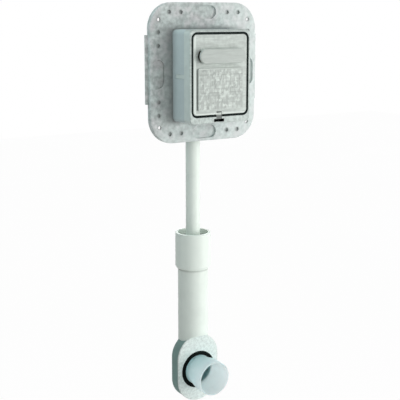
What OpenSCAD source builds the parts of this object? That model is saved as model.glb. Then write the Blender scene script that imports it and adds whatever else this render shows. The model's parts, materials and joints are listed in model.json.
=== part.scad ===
// Concealed flush valve set for a wall-hung water closet: a wall box with its plaster flange and
// pull-off cover, the valve in the box, a flush pipe and a swivelling outlet bend with a connector.
// +X points right, +Y into the wall and +Z up. The origin lies in the wall plane, above the
// pipe and level with the flange's centre. A distance called forward is measured from
// the wall plane towards the room, and a level is a height above the origin.

/* [Plaster flange] */
// Width of the flange
flange_w = 166; // [160:1:180]
// Height of the flange
flange_h = 183; // [175:1:200]
// Corner radius of the flange
flange_r = 34; // [28:1:38]
// Depth of the flange from the wall to its front
flange_depth = 7; // [6:0.5:9]
// Thickness of the perforated sheet
flange_sheet = 2.5; // [2:0.25:3]
// Thickness of the rim round the sheet
flange_rim = 2.5; // [2:0.25:3.5]
// Radius of the rim's rounded front edge
flange_edge_r = 1.6; // [1:0.1:2]
// Distance from the pipe's axis to the flange's middle, to the right
flange_shift = 2.5; // [0:0.5:5]
// Distance from the flange's edge to the line of holes and pockets
hole_margin = 12.5; // [11.5:0.25:14]
// Radius of a keying hole, which has a thin floor to be knocked out
key_hole_r = 2.5; // [1.5:0.1:2.8]
// Radius of a corner screw hole
screw_hole_r = 2.25; // [1.8:0.05:2.6]
// Distance from a corner screw hole to the flange's side
corner_side = 13.5; // [12:0.5:18]
// Distance from a corner screw hole to the flange's upper or lower edge
corner_end = 22; // [18:0.5:24]
// Distance between the two holes of a pair
pair_pitch = 17.5; // [12:0.5:20]
// Distance from a side's middle to the middle of each pair
pair_offset = 45; // [42:0.5:46]
// Length of a rounded pocket
pocket_len = 37; // [30:1:42]
// Width of a rounded pocket
pocket_w = 17.5; // [14:0.5:19]
// Depth of a rounded pocket
pocket_depth = 3; // [2:0.25:4]
// Thickness of a pocket's wall and floor
pocket_wall = 1.5; // [1:0.25:2]
// Height of the tab at each side
tab_h = 89; // [70:1:110]
// Reach of a tab beyond the rim
tab_reach = 4; // [3:0.5:8]
// Thickness of a tab
tab_t = 2; // [1.5:0.25:3]
// Level of the tabs' middle
tab_level = 5.5; // [-10:0.5:10]

/* [Wall box] */
// Width of the box
box_w = 93; // [88:1:98]
// Height of the box
box_h = 120; // [116:1:126]
// Radius of the box's upright edges
box_r = 6; // [4:0.5:8]
// Wall of the box
box_wall = 2.5; // [2:0.25:3]
// Reach of the shell in front of the wall plane
box_forward = 35; // [32:0.5:38]
// Depth of the box behind the wall plane
box_rear = 45; // [44:0.5:55]
// Distance of the box's middle below the flange's middle
box_drop = 2.8; // [0:0.1:4]
// Width of the lip that the flange sits on
lip_w = 7; // [4:0.5:9]
// Thickness of the lip
lip_t = 2; // [1.5:0.25:2.5]
// Gap between the lip and the flange's pockets and ribs
lip_gap = 0.4; // [0.2:0.05:0.8]
// Gap round the box in the flange
flange_gap = 0.3; // [0.2:0.05:0.6]

/* [Front frame and cover] */
// Length of the frame in front of the shell
frame_len = 14.5; // [13:0.5:18]
// Width of the frame's border at either side
border_side = 2.1; // [2:0.1:3.5]
// Width of the frame's border above the cover
border_top = 3.2; // [2.4:0.1:5]
// Width of the frame's border below the cover
border_bottom = 8; // [7.4:0.1:10]
// Length of the frame's spigot inside the shell
spigot_len = 16; // [12:0.5:20]
// Wall of the spigot
spigot_wall = 2; // [1.5:0.25:2.5]
// Gap between the spigot and the shell
spigot_gap = 0.2; // [0.1:0.05:0.4]
// Radius of the frame's front edge
frame_edge_r = 1.2; // [0.6:0.1:2]
// Width of the groove round the cover
groove_w = 3; // [2:0.1:3.5]
// Corner radius of the cover
cover_r = 5.5; // [4:0.5:8]
// Thickness of the cover
cover_t = 3; // [2.5:0.25:4]
// Length of the skirt behind the cover
skirt_len = 8; // [6:0.5:9]
// Thickness of the skirt
skirt_t = 1.6; // [1.2:0.1:2.4]
// Distance of the skirt inside the cover's edge
skirt_inset = 3.6; // [3.4:0.1:5]
// Length of the pill-shaped grip
grip_len = 72; // [60:1:75]
// Height of the pill-shaped grip
grip_h = 19; // [15:0.5:22]
// How far the grip stands out
grip_out = 7.5; // [5:0.5:9]
// Wall of the hollow grip
grip_wall = 1.5; // [1.25:0.25:2.5]
// Height of the finger opening in the grip's left end
finger_h = 15; // [10:0.5:15]
// Level of the grip above the cover's middle
grip_level = 24.1; // [20:0.1:27]
// Width of the raised panel
panel_w = 70; // [60:1:74]
// Height of the raised panel
panel_h = 54; // [45:1:56]
// Thickness of the raised panel
panel_t = 2; // [0.6:0.1:2.5]
// Level of the panel's middle below the cover's middle
panel_drop = 18.4; // [17:0.1:20]
// Width of the latch slot in the frame
latch_slot_w = 16; // [13:0.5:20]
// Height of the latch slot
latch_slot_h = 4; // [3:0.25:4.5]
// Depth of the latch slot
latch_slot_d = 12; // [8:0.5:13]
// Level of the slot's middle above the box's lower edge
latch_slot_up = 3.6; // [3.2:0.1:4]
// Distance of the latch and its slot to the left of the middle
latch_shift = 2; // [0:0.5:4]
// Width of the latch's tongue
latch_w = 8; // [6:0.5:11]
// Thickness of the latch's tongue
latch_t = 1.4; // [1:0.1:1.8]
// Travel of the latch when it is pressed
latch_travel = 1.2; // [0.8:0.1:1.4]

/* [Valve body] */
// Distance of the pipe's axis behind the wall plane
pipe_back = 18.5; // [18:0.5:24]
// Outer radius of the upright barrel
barrel_r = 14.5; // [13.5:0.25:16]
// Gap between the inlet's hexagon and its grommet
inlet_gap = 1.3; // [0.5:0.1:8]
// Wall radius of the threaded inlet
inlet_r = 9.3; // [9:0.05:10]
// Depth of the threaded inlet
inlet_depth = 15; // [12:0.5:16]
// Radius of the waterway
way_r = 8; // [7.5:0.1:8.4]
// Gap between the strap and the stop valve's boss
stop_gap = 0.8; // [0.3:0.1:1.8]
// Radius of the stop valve's boss
stop_boss_r = 13.5; // [12.5:0.25:14]
// Radius of the stop valve's chamber
stop_bore_r = 9.5; // [9:0.1:10]
// Reach of the stop valve's boss in front of the wall plane
stop_boss_forward = 16; // [15:0.5:20]
// Distance of the stop valve's seat behind the wall plane
stop_seat_back = 8; // [7.5:0.25:9]
// Gap between the hexagons of the two bonnets
bonnet_gap = 4.5; // [3.5:0.5:6.5]
// Radius of the flush valve's boss
main_boss_r = 20.5; // [20:0.25:22]
// Radius of the flush valve's chamber
main_bore_r = 16; // [15.5:0.1:17]
// Reach of the flush valve's boss in front of the wall plane
main_boss_forward = 14; // [13:0.5:17]
// Distance of the chamber's floor behind the wall plane
main_floor_back = 4; // [3.5:0.25:5]
// Radius of the opening in either seat
seat_hole_r = 6.8; // [6:0.1:7]
// Radius of the passage between the two chambers
transfer_r = 4.2; // [3.5:0.1:4.6]
// Gap between the outlet's nut and its grommet
outlet_gap = 0.3; // [0.3:0.1:2]
// Depth of the socket that takes the flush pipe
socket_depth = 10; // [8:0.5:12]

/* [Stop valve] */
// Travel of the stop plug
stop_travel = 4; // [3:0.25:4]
// Thickness of the stop washer
stop_washer_t = 2; // [1.5:0.25:2.5]
// Length of the stop plug
stop_plug_len = 10; // [9:0.5:11]
// Radial gap between the plug and its chamber
plug_gap = 0.3; // [0.2:0.05:0.5]
// Radius of the spindle
spindle_r = 3.5; // [3:0.1:4]
// Radius of the spindle's slotted head
spindle_head_r = 5; // [4.5:0.1:6]
// Length of the spindle in front of its bonnet
spindle_out = 9; // [7:0.5:12]
// Size across the flats of the stop bonnet
stop_bonnet_flats = 24; // [22:0.5:26]
// Thickness of the stop bonnet's hexagon
stop_bonnet_t = 6; // [5:0.5:8]

/* [Flush valve] */
// Lift of the piston
piston_lift = 7; // [5:0.5:8]
// Radius of the piston
piston_r = 11.6; // [11:0.1:12]
// Length of the piston's hollow head
piston_len = 10; // [8:0.5:11]
// Length of the piston's neck
neck_len = 4; // [3.5:0.25:5]
// Thickness of the seat ring
seat_ring_t = 3; // [2.5:0.25:3.5]
// Thickness of the seat washer
seat_washer_t = 2.5; // [2:0.25:3]
// Gap all round the piston in its sleeve
piston_gap = 0.4; // [0.3:0.05:0.5]
// Wall of the cartridge sleeve
sleeve_wall = 2; // [1.5:0.25:2.5]
// Room left in front of the lifted piston
chamber_spare = 4; // [3.5:0.25:6]
// Size across the flats of the flush valve's bonnet
bonnet_flats = 45; // [44:0.5:47]
// Radius of the push rod
rod_r = 2; // [1.5:0.1:2.5]
// Travel of the push rod
rod_travel = 3; // [2:0.25:3.5]
// Radius of the push rod's button
button_r = 9; // [7:0.5:12]
// Thickness of the push rod's button
button_t = 4; // [3:0.5:5]
// Length of the rod's spring when it is pressed home
spring_closed = 5; // [4:0.25:6]

/* [Flush pipe and coupling] */
// Outer radius of the flush pipe
pipe_r = 10; // [9.5:0.1:10.5]
// Wall of the flush pipe
pipe_wall = 1.7; // [1.2:0.1:2.2]
// Level of the coupling's top
coupling_level = -223; // [-260:1:-200]
// Length of the coupling
coupling_len = 50.8; // [46:0.5:60]
// Outer radius of the coupling
coupling_r = 25; // [24.5:0.25:27]
// Depth of the open cup above the coupling's seal
cup_depth = 7; // [4:0.5:10]
// Length of the coupling's seal
coupling_seal_len = 12; // [10:0.5:14]
// Length of the flush pipe below the coupling's seal
pipe_spare = 28; // [24:1:40]

/* [Outlet bend] */
// Outer radius of the drop tube
drop_r = 21.5; // [20.5:0.25:22.5]
// Wall of the drop tube
drop_wall = 2.5; // [2:0.25:3]
// Level of the outlet's axis
outlet_axis_level = -423.8; // [-450:1:-415]
// Outer radius of the outlet's barrel
outlet_barrel_r = 30; // [29.5:0.25:31]
// Distance of the outlet's face behind the wall plane
face_back = 4.5; // [4:0.25:6]
// Thickness of the oval face plate
face_t = 2; // [1.75:0.25:3]
// Radius of the oval's rounded ends
oval_r = 33.4; // [32.5:0.1:36]
// Height of the oval's upper centre above the outlet's axis
oval_up = 19; // [16:0.5:26]
// Depth of the oval's lower centre below the outlet's axis
oval_down = 13.5; // [8:0.5:18]
// Radius of the face plate's front edge
face_edge_r = 1.2; // [0.6:0.1:1.4]
// Thickness of the backing pad
pad_t = 17; // [14:0.5:19]
// Distance from the outlet's face to the inside of its domed rear
outlet_depth = 36.5; // [35:0.5:40]
// Radius of the lower waterway
lower_way_r = 13; // [11:0.5:13]

/* [Connector] */
// Outer radius of the connector
connector_r = 21.5; // [21:0.1:22]
// Wall of the connector
connector_wall = 1.6; // [1.4:0.1:2]
// Outer radius of the connector's widened mouth
mouth_r = 24.25; // [23.5:0.25:25]
// Reach of the connector in front of the wall plane
connector_forward = 38; // [32:1:60]
// Length over which the connector widens to its mouth
flare_len = 14; // [10:0.5:14]
// Length of the connector behind the outlet's face
connector_in = 12.5; // [12:0.25:14]
// Outer radius of the outlet seal
seal_r = 27.2; // [26.8:0.1:27.5]
// Depth of the outlet seal
seal_depth = 7; // [5:0.5:8]
// How far the outlet seal stands out of the face
seal_proud = 0.6; // [0.3:0.1:1]
// Travel of the connector into the bend
connector_push = 7; // [4:0.5:8]

/* [Hidden] */
$fn = 48;

// Small overlap that keeps two cuts from sharing a face
cut = 1;
// Radial clearance of a running fit
run_gap = 0.05;
// Radial clearance of a screwed or seated joint
seat_gap = 0.1;

// Flange
pocket_line_x = flange_w / 2 - hole_margin;
pocket_line_z = flange_h / 2 - hole_margin;
rib_t = 1.5;
rib_back = 1;
key_floor_t = 0.5;

// Box, frame and cover, by their distance forward of the wall plane
box_level = -box_drop;
box_bottom = box_level - box_h / 2;
box_top = box_level + box_h / 2;
lip_front = flange_depth - flange_sheet;
frame_front = box_forward + frame_len;
opening_w = box_w - 2 * border_side;
opening_h = box_h - border_top - border_bottom;
opening_level = box_level + (border_bottom - border_top) / 2;
cover_w = opening_w - 2 * groove_w;
cover_h = opening_h - 2 * groove_w;
cover_back = frame_front - cover_t;
gasket_t = 1.2;
gasket_lip = 2.6;
gasket_gap = 0.3;
ledge_front = cover_back - gasket_t;
ledge_t = 2;
skirt_gap = 0.6;
ledge_w = skirt_inset + groove_w - skirt_gap;
spigot_w = box_w - 2 * (box_wall + spigot_gap);
spigot_h = box_h - 2 * (box_wall + spigot_gap);
rib_w = 5;
rib_len = 21;
rib_sunk = 0.4;
cover_edge_r = 1;
grip_edge_r = 2;

rib_root = 0.5;
rib_depth = box_wall + spigot_gap + rib_root - rib_sunk;
rib_middle = box_w / 2 - rib_sunk - rib_depth / 2;
skirt_inner_w = cover_w - 2 * skirt_inset - 2 * skirt_t;
skirt_inner_h = cover_h - 2 * skirt_inset - 2 * skirt_t;
skirt_r = cover_r - 1;
skirt_back = cover_back - skirt_len;
panel_r = 2;

// Latch, by its distance from the cover's lower edge and forward of the wall plane
latch_sunk = 0.5;
latch_gap = 0.1;
latch_tab_up = 2.5;
latch_hook = 0.5;
latch_tab_down = groove_w + border_bottom - latch_slot_up - latch_slot_h / 2 + latch_hook;
latch_room = 0.3;
latch_notch_up = latch_travel + latch_room;
latch_stem = 0.4;
latch_bead = 0.7;
tab_back = frame_front - latch_sunk - latch_t;

// Levels of the valve's axes below the strap that holds it
grommet_lip = 2.5;
saddle_room = 0.5;
saddle_top = box_top - box_wall - grommet_lip - saddle_room;
strap_h = 6.4;
stop_level = saddle_top - strap_h - stop_gap - stop_boss_r;
main_level = stop_level - stop_bonnet_flats / 2 - bonnet_gap - bonnet_flats / 2;

// Valve, by its distance forward of the wall plane
pipe_forward = -pipe_back;
stop_seat = -stop_seat_back;
stop_washer_back = stop_seat + stop_travel;
stop_plug_back = stop_washer_back + stop_washer_t;
stop_plug_front = stop_plug_back + stop_plug_len;
plug_rim = 1.3;
plug_head_t = 2;
plug_wall = 2;
collar_r = 6;
collar_gap = 0.5;
collar_t = 2;
collar_back = stop_plug_front + collar_gap;
stop_bonnet_back = collar_back + collar_t + collar_gap;
stop_bonnet_front = stop_boss_forward + stop_bonnet_t;
spindle_tip = stop_plug_back + plug_wall + collar_gap;
spindle_head_t = 4;
spindle_head_back = stop_bonnet_front + spindle_out - spindle_head_t;
slot_w = 1.2;
gland_wire_r = 1;
gland_r = spindle_r + 2 * gland_wire_r + 2 * seat_gap;
gland_at = (stop_bonnet_back + stop_boss_forward) / 2;
main_floor = -main_floor_back;
seat_ring_w = 3.7;
seat_cover = 2.7;
seat_front = main_floor + seat_ring_t;
washer_front = seat_front + seat_washer_t;
neck_r = 6.5;
head_back = washer_front + neck_len;
head_front = head_back + piston_len;
head_floor_t = 3;
head_floor = head_back + head_floor_t;
head_wall = 2.4;
cup_len = 3;
cup_lip_t = 0.5;
cup_groove = 1.4;
cup_back = head_floor;
cup_inner_r = piston_r - cup_groove;
ceiling = head_front + piston_lift + chamber_spare;
sleeve_over = 0.8;
sleeve_back = head_back - sleeve_over;
sleeve_bore_r = piston_r + piston_gap;
sleeve_flange_t = 2;
sleeve_flange_r = main_bore_r + sleeve_wall;
ring_wire_r = 1.2;
ring_back = 3.5;
ring_at = main_boss_forward - ring_back;
bonnet_neck_t = 3;
bonnet_neck_r = 17;
bonnet_front = ceiling + bonnet_neck_t;
bonnet_step_len = 5;
bonnet_step = main_boss_forward + sleeve_flange_t + bonnet_step_len;
main_coil_r = 7.5;
main_coil_wire_r = 0.6;
main_turns = 6;
pilot_t = 1.5;
pilot_r = 4;
rod_head_t = 1;
rod_out = rod_travel + spring_closed;
rod_front = bonnet_front + rod_out;
rod_coil_r = 5;
rod_coil_wire_r = 0.45;
rod_turns = 4;
button_edge_r = 1.2;
button_wall = 1.5;
button_recess = 1;
web_wall = 3;
web_gap = 0.4;
transfer_shift = 0.5;
transfer_forward = (main_floor + sleeve_back) / 2 + transfer_shift;
bonnet_back = transfer_forward + transfer_r + web_wall + web_gap;

// Inlet and outlet of the valve, by level
grommet_wall = 4;
inlet_hex_t = 11;
inlet_flats = 32;
inlet_level = box_top + grommet_lip + inlet_gap + inlet_hex_t;
inlet_floor = inlet_level - inlet_depth;
strainer_lip_t = 2;
strainer_lip_w = 0.6;
strainer_seat_r = way_r + strainer_lip_w;
strainer_r = way_r - plug_gap;
strainer_len = 16;
strainer_wall = 0.8;
olive_len = 3.5;
olive_r = 13;
olive_rim = 1.5;
olive_taper = 2;
nut_reach = 8;
nut_floor_t = 4;
nut_flats = 38;
nut_bottom = box_bottom + box_wall + grommet_lip + outlet_gap;
outlet_level = nut_bottom + nut_floor_t + olive_len;
nut_top = outlet_level + nut_reach;
socket_level = outlet_level + socket_depth;
air_up = 4;
air_level = socket_level + air_up;
air_hole_r = 1.2;
air_groove = 1.2;
breaker_len = 7.5;
breaker_flange_t = 1.5;
breaker_wall = 1.5;
breaker_r = 5.5;
pipe_top = socket_level - breaker_flange_t;

// Saddle, its strap and the screws
screw_r = 1.8;
screw_head_t = 2.2;
saddle_w = 48;
saddle_t = 3;
saddle_bottom = -16;
strap_level = saddle_top - strap_h / 2;
strap_t = 3.5;
strap_front = pipe_forward + barrel_r + strap_t;
cradle_w = 36;
cradle_h = 12;
cradle_gap = 1.5;
saddle_screw_x = 19;
screw_room = 9.5;
saddle_screw_levels = [saddle_bottom + cradle_h + screw_room, saddle_top - strap_h - screw_room];
clamp_screw_x = 19.5;
clamp_hole_len = 12;
clamp_hole_end = pipe_forward - clamp_hole_len;

// Flush pipe and coupling, by level
coupling_bottom = coupling_level - coupling_len;
coupling_bevel = 3;
coupling_edge_r = 1.2;
coupling_web_gap = 2.5;
seal_top = coupling_level - cup_depth;
seal_bottom = seal_top - coupling_seal_len;
pipe_bottom = seal_bottom - pipe_spare;
coupling_web = 3;
drop_top = seal_bottom - coupling_web;
seal_groove_d = 3;
seal_outer_lip = 2;
seal_inner_lip = 1.6;
seal_lip_slope = 1.5;
coupling_bore_r = drop_r + run_gap;

// Outlet bend, by its distance forward of the wall plane
face_front = -face_back;
face_rear = face_front - face_t;
pad_rear = face_rear - pad_t;
pad_inset = 0.6;
face_gap = 0.4;
bend_rear = face_front - outlet_depth;
bend_wall = 3;
bend_edge_r = 26;
oval_len = oval_up + oval_down + 2 * oval_r;
oval_middle = outlet_axis_level + (oval_up - oval_down) / 2;
oval_top = outlet_axis_level + oval_up + oval_r;
step_wall = 2;
way_step = oval_top + face_gap + step_wall;
face_wall = 5.4;
lower_way_forward = face_rear - face_wall - lower_way_r;
seal_rear = face_front - seal_depth;
connector_rear = face_front - connector_in;
shoulder_gap = 0.2;
stop_shoulder = connector_rear - connector_push - shoulder_gap;
rim_edge_r = 0.8;
mark_w = 1;
mark_d = 0.3;
bore_r = connector_r - connector_wall;
flare_gap = 0.9;
flare_back = face_front + seal_proud + connector_push + flare_gap;
flare_front = flare_back + flare_len;

// Turns a shape drawn in the plane of the wall, with its height forward, to face the room
module facing(level = 0, x = 0) translate([x, 0, level]) rotate([90, 0, 0]) children();

// Cylinder that points forward, between two distances from the wall plane
module forward_rod(r, back, front, level = 0, x = 0)
    facing(level, x) translate([0, 0, back]) cylinder(r = r, h = front - back);

// Revolves a profile of radius and forward distance about a forward axis
module forward_turn(level = 0) facing(level) rotate_extrude() children();

// Upright cylinder on the pipe's axis, between two levels
module upright(r, low, high)
    translate([0, pipe_back, low]) cylinder(r = r, h = high - low);

// Revolves a profile of radius and level about the pipe's axis
module upright_turn() translate([0, pipe_back, 0]) rotate_extrude() children();

// Rounded rectangle with true arcs
module rounded(w, h, r) {
    square([w - 2 * r, h], center = true);
    square([w, h - 2 * r], center = true);
    for (x = [-1, 1], y = [-1, 1])
        translate([x * (w / 2 - r), y * (h / 2 - r)]) circle(r = r);
}

// Slot with two round ends
module slot_shape(len, w) {
    square([len - w, w], center = true);
    for (x = [-1, 1])
        translate([x * (len - w) / 2, 0]) circle(r = w / 2);
}

// Sweeps a profile round a rounded rectangle; the profile's x runs outward from the corner's centre
module sweep_round(w, h, r) {
    for (k = [0:3]) {
        along = k % 2 == 0 ? w : h;
        across = k % 2 == 0 ? h : w;
        rotate([0, 0, 90 * k]) {
            translate([0, across / 2 - r, 0]) rotate([90, 0, 90])
                linear_extrude(height = along - 2 * r, center = true) children();
            translate([along / 2 - r, across / 2 - r, 0])
                rotate_extrude(angle = 90) children();
        }
    }
}

// Slab with a rounded front edge, on a rounded rectangle
module soft_slab(w, h, r, t, edge) {
    sweep_round(w, h, r) edge_profile(r, t, edge);
    translate([0, 0, t / 2]) cube([w - 2 * r, h - 2 * r, t], center = true);
}

// Slot-shaped slab with a rounded front edge
module soft_slot(len, w, t, edge) {
    for (k = [0, 1])
        rotate([0, 0, 180 * k]) {
            translate([(len - w) / 2, 0, 0]) rotate([0, 0, -90])
                rotate_extrude(angle = 180) edge_profile(w / 2, t, edge);
            rotate([90, 0, 90]) linear_extrude(height = len - w, center = true)
                edge_profile(w / 2, t, edge);
        }
}

// Rectangle from the axis out to r with its outer front corner rounded
module edge_profile(r, t, edge) {
    difference() {
        square([r, t]);
        translate([r - edge, t - edge]) difference() {
            square([2 * edge, 2 * edge]);
            circle(r = edge);
        }
    }
}

// Ring with a round section, lying on a forward axis
module forward_ring(ring_r, wire_r, at, level)
    forward_turn(level) translate([ring_r, at]) circle(r = wire_r, $fn = 16);

// Wire coil that starts at the origin and rises along z
module coil(r, len, turns, wire_r) {
    steps = turns * 14;
    sides = 6;
    points = [
        for (i = [0:steps], j = [0:sides - 1])
            let (a = 360 * turns * i / steps, b = 360 * j / sides, ring = r + wire_r * cos(b))
                [ring * cos(a), ring * sin(a), wire_r + (len - 2 * wire_r) * i / steps + wire_r * sin(b)]
    ];
    walls = [
        for (i = [0:steps - 1], j = [0:sides - 1])
            let (a = i * sides + j, b = i * sides + (j + 1) % sides)
                each [[a, a + sides, b], [b, a + sides, b + sides]]
    ];
    first = [for (j = [0:sides - 1]) j];
    last = [for (j = [sides - 1:-1:0]) steps * sides + j];
    polyhedron(points = points, faces = concat(walls, [first, last]));
}

// Places of the keying holes in the plane of the flange
key_holes = [
    for (side = [-1, 1], pair = [-1, 1], hole = [-1, 1])
        let (along = pair * pair_offset + hole * pair_pitch / 2)
            each [[along, side * pocket_line_z], [side * pocket_line_x, along]]
];

// Perforated tray that keys into the plaster round the box
module flange_plate() color("gainsboro") facing(0, flange_shift) difference() {
    union() {
        difference() {
            soft_slab(flange_w, flange_h, flange_r, flange_depth, flange_edge_r);
            translate([0, 0, -cut]) linear_extrude(height = lip_front + cut)
                rounded(flange_w - 2 * flange_rim, flange_h - 2 * flange_rim, flange_r - flange_rim);
        }
        at_pockets() pocket_cup();
        for (side = [-1, 1]) {
            translate([side * (flange_w / 2 + (tab_reach - flange_rim) / 2), tab_level, tab_t / 2])
                cube([tab_reach + flange_rim, tab_h, tab_t], center = true);
            for (x = [-1, 1])
                translate([x * pair_offset - rib_t / 2, side * pocket_line_z - pocket_w / 2, rib_back])
                    cube([rib_t, pocket_w, lip_front]);
        }
    }
    at_pockets() pocket_hollow();
    for (p = key_holes)
        translate([p[0], p[1], lip_front + key_floor_t]) cylinder(r = key_hole_r, h = flange_sheet + cut);
    for (x = [-1, 1], y = [-1, 1])
        translate([x * (flange_w / 2 - corner_side), y * (flange_h / 2 - corner_end), -cut])
            cylinder(r = screw_hole_r, h = flange_depth + 2 * cut);
    translate([-flange_shift, box_level, -cut]) linear_extrude(height = flange_depth + 2 * cut)
        rounded(box_w + 2 * flange_gap, box_h + 2 * flange_gap, box_r + flange_gap);
}

// Places its children at the four pockets, in the plane of the flange
module at_pockets()
    for (side = [-1, 1]) {
        translate([0, side * pocket_line_z]) children();
        translate([side * pocket_line_x, 0]) rotate([0, 0, 90]) children();
    }

// Outline of what stands behind the flange's sheet, grown by a gap
module under_sheet(gap) {
    at_pockets() slot_shape(pocket_len + 2 * (pocket_wall + gap), pocket_w + 2 * (pocket_wall + gap));
    for (x = [-1, 1] * pair_offset, side = [-1, 1] * pocket_line_z)
        translate([x, side]) square([rib_t + 2 * gap, pocket_w + 2 * gap], center = true);
}

// Cup that closes a pocket behind the sheet
module pocket_cup() translate([0, 0, flange_depth - pocket_depth - pocket_wall])
    linear_extrude(height = pocket_depth + pocket_wall - flange_sheet / 2)
        slot_shape(pocket_len + 2 * pocket_wall, pocket_w + 2 * pocket_wall);

module pocket_hollow() translate([0, 0, flange_depth - pocket_depth])
    linear_extrude(height = pocket_depth + cut) slot_shape(pocket_len, pocket_w);

// Deep moulded box that holds the valve, with the lip that carries the flange
module box_shell() color("lightgray") difference() {
    facing(box_level) difference() {
        union() {
            translate([0, 0, -box_rear]) linear_extrude(height = box_rear + box_forward)
                rounded(box_w, box_h, box_r);
            translate([0, 0, lip_front - lip_t]) linear_extrude(height = lip_t) difference() {
                rounded(box_w + 2 * lip_w, box_h + 2 * lip_w, box_r + lip_w);
                translate([flange_shift, -box_level]) under_sheet(lip_gap);
            }
        }
        translate([0, 0, box_wall - box_rear]) linear_extrude(height = box_rear + box_forward)
            rounded(box_w - 2 * box_wall, box_h - 2 * box_wall, box_r - box_wall);
        for (x = [-1, 1])
            translate([x * box_w / 2, 0, box_forward - rib_len / 2 + cut / 2])
                cube([3 * box_wall, rib_w + 2 * spigot_gap, rib_len + cut], center = true);
    }
    upright(barrel_r + grommet_wall, box_level, box_top + cut);
    upright(pipe_r + grommet_wall, box_bottom - cut, box_level);
    for (x = [-1, 1] * saddle_screw_x, level = saddle_screw_levels)
        forward_rod(screw_r + seat_gap, -box_rear - cut, -box_rear + box_wall + cut, level, x);
}

// Frame that lines the box's mouth and carries the cover
module front_frame() color("whitesmoke") facing(box_level) difference() {
    union() {
        translate([0, 0, box_forward]) soft_slab(box_w, box_h, box_r, frame_len, frame_edge_r);
        translate([0, 0, box_forward - spigot_len]) linear_extrude(height = spigot_len + cut)
            rounded(spigot_w, spigot_h, box_r - box_wall);
        for (x = [-1, 1])
            translate([x * rib_middle, 0, box_forward + spigot_gap - rib_len / 2])
                cube([rib_depth, rib_w, rib_len], center = true);
    }
    translate([0, opening_level - box_level, ledge_front]) {
        linear_extrude(height = frame_len) rounded(opening_w, opening_h, cover_r + groove_w);
        translate([0, 0, -ledge_t - cut]) linear_extrude(height = ledge_t + 2 * cut)
            rounded(opening_w - 2 * ledge_w, opening_h - 2 * ledge_w, cover_r);
        latch_notch();
    }
    translate([0, 0, box_forward - rib_len - cut])
        linear_extrude(height = ledge_front - ledge_t - box_forward + rib_len + cut)
            rounded(spigot_w - 2 * spigot_wall, spigot_h - 2 * spigot_wall, box_r - box_wall);
    translate([-latch_shift, latch_slot_up - box_h / 2, frame_front]) {
        cube([latch_slot_w, latch_slot_h, 2 * latch_slot_d], center = true);
        translate([-latch_w / 2 - latch_room, 0, tab_back - latch_room - frame_front])
            cube([latch_w + 2 * latch_room, border_bottom, latch_slot_d]);
    }
}

// Gap in the ledge and the gasket that lets the latch's stem through
module latch_notch() translate([-latch_shift, (ledge_w + cut - opening_h) / 2, 0])
    cube([latch_slot_w, ledge_w + cut, 2 * (gasket_t + gasket_lip + cut)], center = true);

// Rubber ring under the cover's edge, with a lip that stands in the groove
module cover_gasket() color("dimgray") facing(opening_level) translate([0, 0, ledge_front]) difference() {
    union() {
        linear_extrude(height = gasket_t) difference() {
            rounded(opening_w - 2 * seat_gap, opening_h - 2 * seat_gap, cover_r + groove_w);
            rounded(opening_w - 2 * ledge_w, opening_h - 2 * ledge_w, cover_r);
        }
        linear_extrude(height = gasket_t + gasket_lip) difference() {
            rounded(opening_w - 2 * seat_gap, opening_h - 2 * seat_gap, cover_r + groove_w);
            rounded(cover_w + 2 * gasket_gap, cover_h + 2 * gasket_gap, cover_r + gasket_gap);
        }
    }
    latch_notch();
}

// Pull-off cover with its pill-shaped grip, its raised panel and the skirt behind it
module front_cover() color("white") facing(opening_level) difference() {
    union() {
        translate([0, 0, cover_back]) soft_slab(cover_w, cover_h, cover_r, cover_t, cover_edge_r);
        translate([0, 0, skirt_back]) linear_extrude(height = skirt_len + cut) difference() {
            rounded(cover_w - 2 * skirt_inset, cover_h - 2 * skirt_inset, skirt_r);
            rounded(skirt_inner_w, skirt_inner_h, skirt_r - skirt_t);
        }
        translate([0, grip_level, cover_back])
            soft_slot(grip_len, grip_h, cover_t + grip_out, grip_edge_r);
        translate([0, -panel_drop, cover_back]) linear_extrude(height = cover_t + panel_t)
            rounded(panel_w, panel_h, panel_r);
    }
    translate([0, grip_level, cover_back - cut])
        linear_extrude(height = cut + cover_t + grip_out - grip_wall)
            slot_shape(grip_len - 2 * grip_wall, grip_h - 2 * grip_wall);
    translate([-(grip_len + grip_h) / 2, grip_level - finger_h / 2, frame_front])
        cube([grip_h, finger_h, grip_out - grip_wall]);
    translate([-latch_shift, latch_tab_up / 2 - cover_h / 2, cover_back])
        cube([latch_w + 2 * latch_gap, latch_tab_up + 2 * latch_notch_up, 3 * cover_t], center = true);
}

// Sprung latch: a tab in front that crosses the groove, and a stem with a bead behind the cover
module cover_latch() color("silver") facing(opening_level)
    translate([-latch_shift, -cover_h / 2, 0]) rotate([90, 0, 90])
    linear_extrude(height = latch_w, center = true) {
        translate([-latch_tab_down, tab_back]) square([latch_tab_down + latch_tab_up, latch_t]);
        translate([latch_stem, skirt_back]) square([latch_t, skirt_len + cover_t - latch_sunk]);
        translate([latch_stem - latch_bead, skirt_back]) square([latch_bead + latch_t, latch_t]);
    }

// Saddle that carries the valve off the rear wall of the box
module valve_saddle() color("gray") difference() {
    facing() {
        translate([-saddle_w / 2, saddle_bottom, box_wall - box_rear])
            cube([saddle_w, saddle_top - saddle_bottom, saddle_t]);
        translate([-saddle_w / 2, saddle_top - strap_h, box_wall - box_rear])
            cube([saddle_w, strap_h, pipe_forward - box_wall + box_rear]);
        translate([-cradle_w / 2, saddle_bottom, box_wall - box_rear])
            cube([cradle_w, cradle_h, pipe_forward - box_wall + box_rear - cradle_gap]);
    }
    upright(barrel_r + seat_gap, saddle_bottom - cut, saddle_top + cut);
    for (x = [-1, 1]) {
        forward_rod(screw_r + seat_gap, clamp_hole_end, 0, strap_level, x * clamp_screw_x);
        for (level = saddle_screw_levels)
            forward_rod(screw_r + seat_gap, -box_rear, pipe_forward, level, x * saddle_screw_x);
    }
}

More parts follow.
